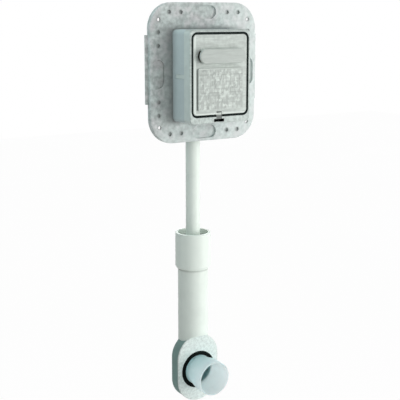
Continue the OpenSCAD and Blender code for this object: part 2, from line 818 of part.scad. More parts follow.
// Pan-head screw that points to the wall, with its head against the given plane
module wall_screw(tip, seat, level, x) {
    forward_rod(screw_r, tip, seat, level, x);
    facing(level, x) translate([0, 0, seat]) difference() {
        cylinder(r = 2 * screw_r, h = screw_head_t);
        for (turn = [0, 90])
            rotate([0, 0, turn]) translate([0, 0, screw_head_t])
                cube([2.6 * screw_r, 0.5 * screw_r, screw_head_t], center = true);
    }
}

// Four screws that hold the saddle to the box
module saddle_screws() color("silver")
    for (x = [-1, 1], level = saddle_screw_levels)
        wall_screw(-box_rear, box_wall + saddle_t - box_rear, level, x * saddle_screw_x);

// Strap that holds the barrel in the saddle
module saddle_clamp() color("gray") difference() {
    facing() translate([-saddle_w / 2, saddle_top - strap_h, pipe_forward])
        cube([saddle_w, strap_h, strap_front - pipe_forward]);
    upright(barrel_r + seat_gap, saddle_bottom, saddle_top + cut);
    for (x = [-1, 1] * clamp_screw_x)
        forward_rod(screw_r + seat_gap, pipe_forward - cut, strap_front + cut, strap_level, x);
}

// Two screws that hold the strap
module clamp_screws() color("silver")
    for (x = [-1, 1])
        wall_screw(clamp_hole_end + screw_r, strap_front, strap_level, x * clamp_screw_x);

// Brass body: inlet above, stop valve chamber, flush valve chamber and outlet below
module valve_body() color("goldenrod") difference() {
    union() {
        upright(barrel_r, outlet_level, inlet_level);
        translate([0, pipe_back, inlet_level - inlet_hex_t])
            cylinder(r = inlet_flats / sqrt(3), h = inlet_hex_t, $fn = 6);
        forward_rod(stop_boss_r, pipe_forward, stop_boss_forward, stop_level);
        forward_rod(main_boss_r, pipe_forward, main_boss_forward, main_level);
        translate([0, -transfer_forward, main_level])
            cylinder(r = transfer_r + web_wall, h = stop_level - main_level);
    }
    upright(inlet_r, inlet_floor, inlet_level + cut);
    upright(strainer_seat_r, inlet_floor - strainer_lip_t, inlet_floor + cut);
    upright(way_r, stop_level - seat_hole_r, inlet_floor);
    upright(way_r, outlet_level, main_level + seat_hole_r);
    upright(pipe_r + seat_gap, outlet_level - cut, socket_level);
    forward_rod(seat_hole_r, pipe_forward, stop_seat + cut, stop_level);
    forward_rod(stop_bore_r, stop_seat, stop_boss_forward + cut, stop_level);
    forward_rod(seat_hole_r, pipe_forward, main_floor + cut, main_level);
    forward_rod(main_bore_r, main_floor, main_boss_forward + cut, main_level);
    translate([0, -transfer_forward, main_level]) cylinder(r = transfer_r, h = stop_level - main_level);
    translate([0, pipe_back, air_level]) for (turn = [0, 180])
        rotate([0, 90, turn]) cylinder(r = air_hole_r, h = barrel_r + cut);
}

// Ring with a groove round it, seated in a hole of the box's wall
module grommet(bore, low, high) {
    difference() {
        union() {
            upright(bore + grommet_wall - run_gap, low - grommet_lip, high + grommet_lip);
            upright(bore + grommet_wall + grommet_lip, low - grommet_lip, low);
            upright(bore + grommet_wall + grommet_lip, high, high + grommet_lip);
        }
        upright(bore + seat_gap, low - grommet_lip - cut, high + grommet_lip + cut);
    }
}
module inlet_grommet() color("dimgray") grommet(barrel_r, box_top - box_wall, box_top);
module pipe_grommet() color("dimgray") grommet(pipe_r, box_bottom, box_bottom + box_wall);

// Slotted cup that keeps grit out of the valve
module inlet_strainer() color("gainsboro") difference() {
    union() {
        upright(strainer_seat_r - seat_gap, inlet_floor - strainer_lip_t, inlet_floor);
        upright(strainer_r, inlet_floor - strainer_len, inlet_floor);
    }
    upright(strainer_r - strainer_wall, inlet_floor - strainer_len + strainer_wall, inlet_floor + cut);
    translate([0, pipe_back, inlet_floor - strainer_len / 2 - strainer_lip_t])
        for (turn = [0:45:135]) rotate([0, 0, turn])
            cube([2 * way_r, strainer_wall, strainer_len - 3 * strainer_lip_t], center = true);
}

// Screwed plug that closes the stop chamber and guides its spindle
module stop_bonnet() color("silver") difference() {
    union() {
        forward_rod(stop_bore_r - seat_gap, stop_bonnet_back, stop_boss_forward, stop_level);
        facing(stop_level) translate([0, 0, stop_boss_forward])
            cylinder(r = stop_bonnet_flats / sqrt(3), h = stop_bonnet_t, $fn = 6);
    }
    forward_rod(spindle_r + run_gap, stop_bonnet_back - cut, stop_bonnet_front + cut, stop_level);
    forward_rod(gland_r, gland_at - gland_wire_r, gland_at + gland_wire_r, stop_level);
}

module gland_ring() color("dimgray")
    forward_ring(spindle_r + gland_wire_r + seat_gap, gland_wire_r, gland_at, stop_level);

// Spindle that turns in the bonnet, with a screwdriver slot in its head
module stop_spindle() color("silver") difference() {
    union() {
        forward_rod(spindle_r, spindle_tip, stop_bonnet_front + spindle_out, stop_level);
        forward_rod(collar_r, collar_back, collar_back + collar_t, stop_level);
        forward_rod(spindle_head_r, spindle_head_back, stop_bonnet_front + spindle_out, stop_level);
    }
    facing(stop_level) translate([0, 0, stop_bonnet_front + spindle_out])
        cube([3 * spindle_head_r, slot_w, 2 * slot_w], center = true);
}

// Plug that the spindle screws towards its seat; four wings keep it straight
module stop_plug() color("goldenrod") difference() {
    union() {
        forward_rod(stop_bore_r - plug_rim, stop_plug_back, stop_plug_back + plug_head_t, stop_level);
        forward_rod(spindle_r + plug_wall, stop_plug_back, stop_plug_front, stop_level);
        intersection() {
            forward_rod(stop_bore_r - plug_gap, stop_plug_back, stop_plug_front, stop_level);
            facing(stop_level) translate([0, 0, (stop_plug_back + stop_plug_front) / 2])
                for (turn = [45, 135]) rotate([0, 0, turn])
                    cube([3 * stop_bore_r, plug_wall, stop_plug_len], center = true);
        }
    }
    forward_rod(spindle_r + seat_gap, stop_plug_back + plug_wall, stop_plug_front + cut, stop_level);
}

module stop_washer() color("dimgray")
    forward_rod(stop_bore_r - plug_rim, stop_washer_back, stop_plug_back, stop_level);

module seat_ring() color("goldenrod") difference() {
    forward_rod(seat_hole_r + seat_ring_w, main_floor, seat_front, main_level);
    forward_rod(seat_hole_r, main_floor - cut, seat_front + cut, main_level);
}

module seat_washer() color("dimgray")
    forward_rod(seat_hole_r + seat_cover, seat_front, washer_front, main_level);

// Piston: a neck behind, a hollow head in front and a groove for the cup seal
module piston() color("ivory") difference() {
    union() {
        forward_rod(neck_r, washer_front, head_back + cut, main_level);
        forward_rod(piston_r, head_back, head_front, main_level);
    }
    forward_rod(piston_r - head_wall, head_floor, head_front + cut, main_level);
    difference() {
        forward_rod(piston_r + cut, cup_back, cup_back + cup_len, main_level);
        forward_rod(cup_inner_r, cup_back - cut, cup_back + cup_len + cut, main_level);
    }
}

// Rubber cup seal with two lips
module piston_cup() color("dimgray") forward_turn(main_level) polygon([
    [cup_inner_r + run_gap, cup_back], [sleeve_bore_r - run_gap, cup_back],
    [sleeve_bore_r - run_gap, cup_back + cup_len], [sleeve_bore_r - cup_lip_t, cup_back + cup_len],
    [(cup_inner_r + sleeve_bore_r) / 2, cup_back + cup_len / 2],
    [cup_inner_r + cup_lip_t, cup_back + cup_len], [cup_inner_r + run_gap, cup_back + cup_len]
]);

// Sleeve that the piston runs in, with its flange between the body and the bonnet
module cartridge_sleeve() color("ivory") difference() {
    union() {
        forward_rod(main_bore_r - seat_gap, sleeve_back, main_boss_forward, main_level);
        forward_rod(sleeve_flange_r, main_boss_forward, main_boss_forward + sleeve_flange_t, main_level);
        forward_rod(sleeve_bore_r + sleeve_wall, main_boss_forward, ceiling, main_level);
    }
    forward_rod(sleeve_bore_r, sleeve_back - cut, ceiling + cut, main_level);
    difference() {
        forward_rod(main_bore_r, ring_at - ring_wire_r, ring_at + ring_wire_r, main_level);
        forward_rod(main_bore_r - seat_gap - 2 * ring_wire_r, sleeve_back, main_boss_forward, main_level);
    }
}

module cartridge_ring() color("dimgray")
    forward_ring(main_bore_r - seat_gap - ring_wire_r, ring_wire_r - run_gap, ring_at, main_level);

// Bonnet that screws over the boss and closes the pressure chamber
module main_bonnet() color("silver") difference() {
    union() {
        facing(main_level) translate([0, 0, bonnet_back])
            cylinder(r = bonnet_flats / sqrt(3), h = bonnet_step - bonnet_back, $fn = 6);
        forward_rod(bonnet_neck_r, bonnet_step, bonnet_front, main_level);
    }
    forward_rod(main_boss_r + seat_gap, bonnet_back - cut, main_boss_forward, main_level);
    forward_rod(
        sleeve_flange_r + seat_gap, main_boss_forward - cut, main_boss_forward + sleeve_flange_t,
        main_level
    );
    forward_rod(sleeve_bore_r + sleeve_wall + seat_gap, main_boss_forward, ceiling, main_level);
    forward_rod(rod_r + run_gap, ceiling - cut, bonnet_front + cut, main_level);
}

module main_spring() color("silver") facing(main_level) translate([0, 0, head_floor])
    coil(main_coil_r, ceiling - head_floor, main_turns, main_coil_wire_r);

// Push rod whose head carries the pilot washer
module push_rod() color("silver") {
    forward_rod(rod_r, ceiling - pilot_t - rod_head_t, rod_front + button_recess, main_level);
    forward_rod(1.5 * rod_r, ceiling - pilot_t - rod_head_t, ceiling - pilot_t, main_level);
}

module pilot_washer() color("dimgray") difference() {
    forward_rod(pilot_r, ceiling - pilot_t, ceiling, main_level);
    forward_rod(rod_r + run_gap, ceiling - pilot_t - cut, ceiling + cut, main_level);
}

// Button that the flush plate's pin presses
module rod_button() color("steelblue") forward_turn(main_level) difference() {
    translate([0, rod_front]) edge_profile(button_r, button_t, button_edge_r);
    translate([0, rod_front - cut]) square([button_r - button_wall, cut + button_recess]);
}

module rod_spring() color("silver") facing(main_level) translate([0, 0, bonnet_front])
    coil(rod_coil_r, rod_out + button_recess, rod_turns, rod_coil_wire_r);

// Insert that lets air into the outlet when the supply sucks back
module vacuum_breaker() color("royalblue") difference() {
    union() {
        upright(pipe_r - seat_gap, pipe_top, socket_level);
        upright(way_r - seat_gap, pipe_top, socket_level + breaker_len);
    }
    translate([0, pipe_back, pipe_top])
        cylinder(r1 = way_r - breaker_wall, r2 = breaker_r, h = breaker_len + breaker_flange_t + cut);
    difference() {
        upright(way_r + cut, air_level - air_hole_r, air_level + air_hole_r);
        upright(way_r - air_groove, pipe_top, main_level);
    }
}

// Tapered rubber ring that seals the flush pipe in the outlet
module pipe_olive() color("dimgray") upright_turn() polygon([
    [pipe_r + run_gap, outlet_level], [olive_r, outlet_level], [olive_r, outlet_level - olive_rim],
    [olive_r - olive_taper, outlet_level - olive_len], [pipe_r + run_gap, outlet_level - olive_len]
]);

// Union nut that holds the flush pipe
module outlet_nut() color("silver") difference() {
    translate([0, pipe_back, nut_bottom])
        cylinder(r = nut_flats / sqrt(3), h = nut_top - nut_bottom, $fn = 6);
    upright(barrel_r + seat_gap, outlet_level, nut_top + cut);
    upright(olive_r + seat_gap, outlet_level - olive_len - seat_gap, outlet_level + cut);
    upright(pipe_r + plug_gap, nut_bottom - cut, outlet_level);
}

module flush_pipe() color("white") difference() {
    upright(pipe_r, pipe_bottom, pipe_top);
    upright(pipe_r - pipe_wall, pipe_bottom - cut, pipe_top + cut);
}

// Coupling with an open cup above its seal; the drop tube enters it from below
module slip_coupling() color("white") upright_turn() difference() {
    translate([0, coupling_bottom]) edge_profile(coupling_r, coupling_len, coupling_edge_r);
    polygon([
        [coupling_r - coupling_bevel / 2, coupling_bottom - cut],
        [coupling_r + cut, coupling_bottom - cut],
        [coupling_r + cut, coupling_bottom + coupling_bevel + cut],
        [coupling_r, coupling_bottom + coupling_bevel],
        [coupling_r - coupling_bevel / 2, coupling_bottom]
    ]);
    translate([0, seal_bottom]) square([coupling_bore_r, coupling_len]);
    translate([0, drop_top - cut]) square([pipe_r + coupling_web_gap, coupling_len]);
    translate([0, coupling_bottom - cut])
        square([coupling_bore_r, drop_top + seat_gap + cut - coupling_bottom]);
}

// Rubber seal between the flush pipe and the coupling
module coupling_seal() color("dimgray") upright_turn() polygon([
    [pipe_r + run_gap, seal_bottom], [coupling_bore_r - run_gap, seal_bottom],
    [coupling_bore_r - run_gap, seal_top], [coupling_bore_r - seal_outer_lip, seal_top],
    [coupling_bore_r - seal_outer_lip - seal_lip_slope, seal_top - seal_groove_d],
    [pipe_r + seal_inner_lip + seal_lip_slope, seal_top - seal_groove_d],
    [pipe_r + seal_inner_lip, seal_top], [pipe_r + run_gap, seal_top]
]);

// Drop tube and outlet elbow in one moulding; its front is cut flat where the face plate lies
module outlet_bend() color("white") difference() {
    union() {
        upright(drop_r, outlet_axis_level, drop_top);
        outlet_dome(outlet_barrel_r, face_rear - bend_rear + bend_wall, bend_edge_r);
    }
    upright(drop_r - drop_wall, way_step, drop_top + cut);
    translate([0, -lower_way_forward, outlet_axis_level])
        cylinder(r = lower_way_r, h = way_step + cut - outlet_axis_level);
    forward_rod(seal_r + run_gap, seal_rear, face_front + cut, outlet_axis_level);
    forward_rod(connector_r + run_gap, stop_shoulder, face_front, outlet_axis_level);
    intersection() {
        forward_rod(bore_r, bend_rear - cut, stop_shoulder + cut, outlet_axis_level);
        outlet_dome(outlet_barrel_r - bend_wall, face_rear - bend_rear, bend_edge_r - bend_wall);
    }
    facing(oval_middle) translate([0, 0, face_rear]) rotate([0, 0, 90])
        linear_extrude(height = 2 * drop_r)
        slot_shape(oval_len + 2 * face_gap, 2 * (oval_r + face_gap));
}

// Barrel on the outlet's axis that runs back from behind the face plate to a domed end
module outlet_dome(r, len, edge) facing(outlet_axis_level) translate([0, 0, face_rear])
    mirror([0, 0, 1]) rotate_extrude() edge_profile(r, len, edge);

// Grey pad behind the face plate, open at the top for the drop tube
module backing_pad() color("dimgray") difference() {
    facing(oval_middle) translate([0, 0, pad_rear]) rotate([0, 0, 90]) linear_extrude(height = pad_t)
        slot_shape(oval_len - 2 * pad_inset, 2 * (oval_r - pad_inset));
    forward_rod(outlet_barrel_r + seat_gap, pad_rear - cut, face_rear + cut, outlet_axis_level);
    upright(drop_r + seat_gap, outlet_axis_level, oval_top + cut);
}

// Oval face plate round the outlet
module face_plate() color("whitesmoke") difference() {
    facing(oval_middle) translate([0, 0, face_rear]) rotate([0, 0, 90])
        soft_slot(oval_len, 2 * oval_r, face_t, face_edge_r);
    forward_rod(seal_r + seat_gap, face_rear - cut, face_front + cut, outlet_axis_level);
}

// Black rubber ring between the connector and the bend
module outlet_seal() color("black") forward_turn(outlet_axis_level) difference() {
    translate([0, seal_rear]) edge_profile(seal_r, seal_depth + seal_proud, rim_edge_r);
    translate([0, seal_rear - cut]) square([connector_r + run_gap, seal_depth + 3 * cut]);
}

// Push-fit connector to the bowl, with a wider mouth and a ring cut in it as a depth mark
module connector_tube() color("aliceblue") forward_turn(outlet_axis_level) difference() {
    union() {
        translate([0, connector_rear]) square([connector_r, flare_back - connector_rear]);
        polygon([
            [0, flare_back], [connector_r, flare_back], [mouth_r, flare_front], [0, flare_front]
        ]);
        translate([0, flare_front])
            edge_profile(mouth_r, connector_forward - flare_front, rim_edge_r);
    }
    polygon([
        [0, connector_rear - cut], [bore_r, connector_rear - cut], [bore_r, flare_back],
        [mouth_r - connector_wall, flare_front], [mouth_r - connector_wall, connector_forward + cut],
        [0, connector_forward + cut]
    ]);
    translate([connector_r - mark_d, -mark_w / 2]) square([cut, mark_w]);
}

flange_plate();
box_shell();
front_frame();
cover_gasket();
front_cover();
cover_latch();
valve_saddle();
saddle_screws();
saddle_clamp();
clamp_screws();
valve_body();
inlet_grommet();
inlet_strainer();
stop_bonnet();
gland_ring();
stop_spindle();
stop_plug();
stop_washer();
seat_ring();
seat_washer();
piston();
piston_cup();
cartridge_sleeve();
cartridge_ring();
main_bonnet();
main_spring();
push_rod();
pilot_washer();
rod_button();
rod_spring();
vacuum_breaker();
pipe_olive();
outlet_nut();
pipe_grommet();
flush_pipe();
slip_coupling();
coupling_seal();
outlet_bend();
backing_pad();
face_plate();
outlet_seal();
connector_tube();
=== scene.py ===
"""Dresses the flush valve set: moulded plastics, rubber, brass and steel, springs, light and camera."""

import json
import math

import bpy
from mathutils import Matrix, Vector


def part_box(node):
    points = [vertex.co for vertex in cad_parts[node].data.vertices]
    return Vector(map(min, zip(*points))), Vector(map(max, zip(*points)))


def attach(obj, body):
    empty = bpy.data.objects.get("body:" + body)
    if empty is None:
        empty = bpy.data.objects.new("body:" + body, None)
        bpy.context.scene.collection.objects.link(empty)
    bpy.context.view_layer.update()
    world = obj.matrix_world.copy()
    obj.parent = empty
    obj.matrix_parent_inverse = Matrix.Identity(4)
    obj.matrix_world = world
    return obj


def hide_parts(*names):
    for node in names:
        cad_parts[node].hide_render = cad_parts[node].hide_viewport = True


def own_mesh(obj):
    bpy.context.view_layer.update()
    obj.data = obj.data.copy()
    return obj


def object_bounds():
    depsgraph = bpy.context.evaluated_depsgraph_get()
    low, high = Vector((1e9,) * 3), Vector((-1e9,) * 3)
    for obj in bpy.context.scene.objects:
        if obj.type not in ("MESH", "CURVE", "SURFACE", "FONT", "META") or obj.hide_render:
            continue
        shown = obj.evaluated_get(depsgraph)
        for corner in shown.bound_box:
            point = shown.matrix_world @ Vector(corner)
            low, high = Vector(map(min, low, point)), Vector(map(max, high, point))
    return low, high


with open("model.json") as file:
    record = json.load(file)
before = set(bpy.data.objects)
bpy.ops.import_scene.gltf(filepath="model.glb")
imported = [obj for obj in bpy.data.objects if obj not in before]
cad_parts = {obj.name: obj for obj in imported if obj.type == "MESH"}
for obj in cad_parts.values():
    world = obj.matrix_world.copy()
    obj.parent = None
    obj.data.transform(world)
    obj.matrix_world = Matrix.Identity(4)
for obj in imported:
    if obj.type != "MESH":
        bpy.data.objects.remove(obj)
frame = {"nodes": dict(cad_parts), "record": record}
CAD_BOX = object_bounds()

MM = 0.001

# Colours


def linear(channel):
    """Turns an sRGB channel from 0 to 255 into a linear one."""
    c = channel / 255
    return c / 12.92 if c <= 0.04045 else ((c + 0.055) / 1.055) ** 2.4


def colour(red, green, blue):
    """A linear colour from sRGB channels."""
    return (linear(red), linear(green), linear(blue), 1)


def shade(tone, factor):
    """The same colour, lighter or darker."""
    return (*(min(1, c * factor) for c in tone[:3]), 1)


def grey(level):
    """A grey of a linear level."""
    return (level, level, level, 1)


FLANGE_TONE = colour(190, 199, 196)
BOX_TONE = colour(190, 202, 203)
# The frame's sides take a paler tone than its front: painted light and shade.
FRAME_TONE = colour(206, 216, 212)
FRONT_TONE = colour(189, 200, 195)
COVER_TONE = colour(193, 201, 195)
# Painted shade: the latch's dark tone where it lies in the slot.
LATCH_TONE = colour(104, 110, 106)
WHITE_TONE = colour(236, 245, 237)
FACE_TONE = colour(222, 231, 227)
PAD_TONE = colour(134, 162, 157)
FROSTED_TONE = colour(196, 246, 250)
# Painted light: a paler tone for the connector's mouth.
MOUTH_PAINTED_LIGHT = colour(206, 250, 255)
GREY_TONE = colour(186, 193, 188)
BLACK_TONE = colour(34, 40, 39)
# A near black for the painted shade in the frame's latch slot.
SLOT_PAINTED_SHADE = shade(BLACK_TONE, 0.2)
BRASS_TONE = colour(202, 172, 112)
CHROME_TONE = colour(150, 154, 157)
STEEL_TONE = colour(160, 164, 166)
NATURAL_TONE = colour(222, 218, 202)
BLUE_TONE = colour(52, 96, 150)
FLOOR_TONE = colour(246, 247, 247)
FLOOR_LIGHT = colour(250, 250, 250)

# Nodes


def put(tree, value, socket):
    """Gives a socket its value, which is another socket, a number or a colour."""
    if isinstance(value, bpy.types.NodeSocket):
        tree.links.new(value, socket)
    else:
        socket.default_value = value


def add_node(tree, kind, values):
    """A new node in a tree; values are its inputs by name."""
    node = tree.nodes.new(kind)
    for name, value in values.items():
        put(tree, value, node.inputs[name])
    return node


def math_node(tree, operation, *values):
    """The result of a math node in a tree; each value is a socket or a number."""
    node = tree.nodes.new("ShaderNodeMath")
    node.operation = operation
    for socket, value in zip(node.inputs, values):
        put(tree, value, socket)
    return node.outputs["Value"]


# The range that most values of a noise lie in, and the whole range
MOST = (0.3, 0.7)
WHOLE = (0, 1)

# Detail of a noise, from a simple pattern to a ragged one
SPECKS = 2
LUMPS = 3
STAINS = 4
CLOUDS = 5
BLOTS = 6

# A mix node's colour sockets share their names with others, so they go by number
MIX_BASE = 6
MIX_OTHER = 7
MIX_RESULT = 2


class Paint:
    """A node material whose places are read in the row frame, in metres."""

    def __init__(self, name):
        self.material = bpy.data.materials.new(name)
        self.material.use_nodes = True
        self.tree = self.material.node_tree
        self.shader = self.tree.nodes["Principled BSDF"]
        self.place = self.node("ShaderNodeTexCoord", {}).outputs["Object"]

    def node(self, kind, values):
        """A new node; values are its inputs by name."""
        return add_node(self.tree, kind, values)

    def math(self, operation, *values):
        """The result of a math node; each value is a socket or a number."""
        return math_node(self.tree, operation, *values)

    def axes(self):
        """The x, y and z of the place."""
        return self.node("ShaderNodeSeparateXYZ", {"Vector": self.place}).outputs

    def noise(self, size, detail, stretch=(1, 1, 1)):
        """Noise with lumps about size metres across; stretch over 1 squeezes them along that axis."""
        place = self.node("ShaderNodeMapping", {"Vector": self.place, "Scale": stretch}).outputs["Vector"]
        texture = self.node("ShaderNodeTexNoise", {"Vector": place, "Scale": 1 / size, "Detail": detail})
        return texture.outputs["Fac"]

    def ramp(self, value, stops):
        """Colours by value; stops are (position, colour) pairs."""
        node = self.node("ShaderNodeValToRGB", {"Fac": value})
        ends = node.color_ramp.elements
        ends[0].position, ends[0].color = stops[0]
        ends[1].position, ends[1].color = stops[-1]
        for position, tone in stops[1:-1]:
            ends.new(position).color = tone
        return node.outputs["Color"]

    def mottled(self, noise, tone, factors, places=MOST):
        """Shades of one tone by a noise; each factor belongs to one of the noise's places."""
        return self.ramp(noise, [(at, shade(tone, factor)) for at, factor in zip(places, factors)])

    def span(self, value, low, high, start, end):
        """Maps value from start..end to low..high, clamped."""
        limits = {"From Min": start, "From Max": end, "To Min": low, "To Max": high}
        return self.node("ShaderNodeMapRange", {"Value": value, **limits}).outputs["Result"]

    def rise(self, value, start, end):
        """A mask that is 0 up to start and rises to 1 at end."""
        return self.span(value, 0, 1, start, end)

    def fall(self, value, start, end):
        """A mask that is 1 up to start and falls to 0 at end."""
        return self.span(value, 1, 0, start, end)

    def rough(self, noise, limits, places=MOST):
        """A roughness that goes from one limit to the other as the noise goes between its places."""
        return self.span(noise, *limits, *places)

    def overlap(self, first, *others):
        """The product of masks, which is 1 only where all are 1."""
        for other in others:
            first = self.math("MULTIPLY", first, other)
        return first

    def lay(self, base, other, mask, strength=1):
        """Lays another colour over base where mask is 1, by strength; a colour is a socket or a tuple."""
        share = mask if strength == 1 else self.math("MULTIPLY", mask, strength)
        mixer = self.tree.nodes.new("ShaderNodeMix")
        mixer.data_type = "RGBA"
        put(self.tree, share, mixer.inputs["Factor"])
        put(self.tree, base, mixer.inputs[MIX_BASE])
        put(self.tree, other, mixer.inputs[MIX_OTHER])
        return mixer.outputs[MIX_RESULT]

    def tint(self, base, tone, layer, mask):
        """Lays a shade of tone over base where mask is 1; a layer is the shade's factor and strength."""
        factor, strength = layer
        return self.lay(base, shade(tone, factor), mask, strength)

    def within(self, value, middle, half):
        """1 where value is within half of middle, else 0."""
        off = self.math("ABSOLUTE", self.math("SUBTRACT", value, middle))
        return self.math("LESS_THAN", off, half)

    def reach(self, across, up):
        """The straight length of a step across and a step up."""
        squares = self.math("ADD", self.math("POWER", across, 2), self.math("POWER", up, 2))
        return self.math("SQRT", squares)

    def soak(self, depth):
        """Lets light spread in the plastic over depth metres."""
        self.shader.inputs["Subsurface Weight"].default_value = 1
        self.shader.inputs["Subsurface Scale"].default_value = depth
        self.shader.inputs["Subsurface Radius"].default_value = (1, 1, 1)

    def finish(self, base, roughness, heights=(), metallic=0.0, specular=0.5):
        """Sets the shader: a colour socket, a roughness socket and (height, depth in metres) bumps."""
        put(self.tree, base, self.shader.inputs["Base Color"])
        put(self.tree, roughness, self.shader.inputs["Roughness"])
        self.shader.inputs["Metallic"].default_value = metallic
        self.shader.inputs["Specular IOR Level"].default_value = specular
        target = self.shader.inputs["Normal"]
        for height, depth in reversed(heights):
            bump = self.node("ShaderNodeBump", {"Strength": 1, "Distance": depth, "Height": height})
            put(self.tree, bump.outputs["Normal"], target)
            target = bump.inputs["Normal"]
        return self.material


# Plain plastics, rubber and metal

# Factors say how dark or light a pattern is; shades and masks say between which noise values it goes
GRAIN = 0.4 * MM
GRAIN_DEPTH = 0.02 * MM
GRAIN_MASK = (0.2, 0.6)
GRAIN_SHADES = (0.25, 0.6)
GRAIN_DARK = 1.4
GRAIN_LIGHT = 0.5
MOTTLE = 9 * MM
RUBBER_GRAIN = 0.3 * MM
RUBBER_DEPTH = 0.015 * MM
RUBBER_BLOOM = 4 * MM
BLOOM_FACTORS = (1, 1.5)
BLOOM_SHADES = (0.35, 0.75)
RUBBER_ROUGH = (0.7, 0.9)
RUBBER_GLOSS = 0.02
METAL_LINE = 1.2 * MM
METAL_DEPTH = 0.01 * MM
METAL_STAIN = 7 * MM
STAIN_FACTORS = (0.82, 1)
DRAWN = (1, 1, 14)
EVEN = (1, 1, 1)


def moulded(name, tone, rough, grain=GRAIN, mottle=MOTTLE, contrast=0.05, depth=GRAIN_DEPTH, gloss=0.5):
    """Moulded plastic: slight mottling, a fine grain and a roughness between the limits in rough."""
    paint = Paint(name)
    clouds = paint.noise(mottle, CLOUDS)
    specks = paint.noise(grain, SPECKS)
    blotched = paint.mottled(clouds, tone, (1 - contrast, 1 + contrast))
    factors = (1 - GRAIN_DARK * contrast, 1 + GRAIN_LIGHT * contrast)
    speckled = paint.mottled(specks, tone, factors, GRAIN_SHADES)
    base = paint.lay(blotched, speckled, paint.span(specks, *GRAIN_MASK, *WHOLE))
    return paint.finish(base, paint.rough(clouds, rough), [(specks, depth)], specular=gloss)


def rubber(name, tone):
    """Matt rubber with a bloom of dust."""
    paint = Paint(name)
    bloom = paint.noise(RUBBER_BLOOM, STAINS)
    grain = paint.noise(RUBBER_GRAIN, SPECKS)
    base = paint.mottled(bloom, tone, BLOOM_FACTORS, BLOOM_SHADES)
    roughness = paint.rough(bloom, RUBBER_ROUGH, WHOLE)
    return paint.finish(base, roughness, [(grain, RUBBER_DEPTH)], specular=RUBBER_GLOSS)


def metal(name, tone, rough, stretch=DRAWN):
    """Turned or drawn metal with stains and fine lines."""
    paint = Paint(name)
    lines = paint.noise(METAL_LINE, STAINS, stretch)
    stains = paint.noise(METAL_STAIN, STAINS)
    base = paint.mottled(stains, tone, STAIN_FACTORS)
    return paint.finish(base, paint.rough(lines, rough, WHOLE), [(lines, METAL_DEPTH)], metallic=1.0)


# The flange, with painted shade round the box and round its holes, and painted light to the right and at
# its foot

FLANGE_LOW, FLANGE_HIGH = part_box("flange_plate")
FRAME_LOW, FRAME_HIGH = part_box("front_frame")
FLANGE_TAB = 4 * MM
FLANGE_HALF_W = (FLANGE_HIGH.x - FLANGE_LOW.x) / 2 - FLANGE_TAB
FLANGE_MIDDLE = (FLANGE_HIGH.x + FLANGE_LOW.x) / 2
BOX_HALF_W = FRAME_HIGH.x
BOX_HALF_H = (FRAME_HIGH.z - FRAME_LOW.z) / 2
BOX_LEVEL = (FRAME_HIGH.z + FRAME_LOW.z) / 2

# The holes in one quarter of the flange, across and up from its middle; the other quarters mirror it
HOLE_MARGIN = 12.5 * MM
PAIR_LINE_X = FLANGE_HALF_W - HOLE_MARGIN
PAIR_LINE_Z = FLANGE_HIGH.z - HOLE_MARGIN
PAIR_OFFSET = 45 * MM
PAIR_PITCH = 17.5 * MM
PAIR_SPOTS = (PAIR_OFFSET - PAIR_PITCH / 2, PAIR_OFFSET + PAIR_PITCH / 2)
SCREW_OFFSET = 69.5 * MM
HOLE_SPOTS = [(along, PAIR_LINE_Z) for along in PAIR_SPOTS]
HOLE_SPOTS += [(PAIR_LINE_X, along) for along in PAIR_SPOTS]
HOLE_SPOTS += [(SCREW_OFFSET, SCREW_OFFSET)]
HOLE_RADIUS = 2.2 * MM
HOLE_SHADE = 2.2 * MM

FLANGE_BLOTCH = 6 * MM
FLANGE_GRAIN = 0.5 * MM
FLANGE_DEPTH = 0.05 * MM
BLOTCH_DEPTH = 0.15 * MM
FLANGE_FACTORS = (0.72, 1, 1.3)
FLANGE_SHADES = (0.32, 0.5, 0.68)
FLANGE_ROUGH = (0.5, 0.7)
WARMTH = (1.06, 0.97, 1)
WARM_BLOTCH = 12 * MM
WARM_FACTORS = (0.78, 1.25)
WARM_MASK = (0.45, 0.65)
FOOT_PALE = FLANGE_LOW.z + 1.5 * MM
FOOT_PLAIN = FLANGE_LOW.z + 31.5 * MM
FOOT_SHARE = 0.7
BOX_SHADE_REACH = 30 * MM
BOX_SHADE_REACH_ABOVE = 7 * MM
BOX_SHADE_FADE = 1.5

# Layers over the flange's plastic: the factor of their shade, and their strength
PALE = (1.4, 0.5)
BOX_PAINTED_SHADE = (0.3, 0.85)
HOLE_PAINTED_SHADE = (0.35, 0.5)


def painted_hole_shade(paint, x, z):
    """A painted shade mask: 1 close to a hole in the flange, fading to 0 a few millimetres off."""
    across = paint.math("ABSOLUTE", paint.math("SUBTRACT", x, FLANGE_MIDDLE))
    up = paint.math("ABSOLUTE", z)
    nearest = None
    for hole_x, hole_z in HOLE_SPOTS:
        gap = paint.reach(paint.math("SUBTRACT", across, hole_x), paint.math("SUBTRACT", up, hole_z))
        nearest = gap if nearest is None else paint.math("MINIMUM", nearest, gap)
    return paint.fall(nearest, HOLE_RADIUS, HOLE_RADIUS + HOLE_SHADE)


def painted_box_shade(paint, x, z):
    """A painted shade mask: 1 at the wall box, fading to 0 over a long reach beside it and a short one
    above and below.
    """
    beside = paint.math("SUBTRACT", paint.math("ABSOLUTE", x), BOX_HALF_W)
    above = paint.math("ABSOLUTE", paint.math("SUBTRACT", z, BOX_LEVEL))
    above = paint.math("SUBTRACT", above, BOX_HALF_H)
    beside = paint.math("MAXIMUM", beside, 0)
    above = paint.math("MULTIPLY", paint.math("MAXIMUM", above, 0), BOX_SHADE_REACH / BOX_SHADE_REACH_ABOVE)
    return paint.math("POWER", paint.fall(paint.reach(beside, above), 0, BOX_SHADE_REACH), BOX_SHADE_FADE)


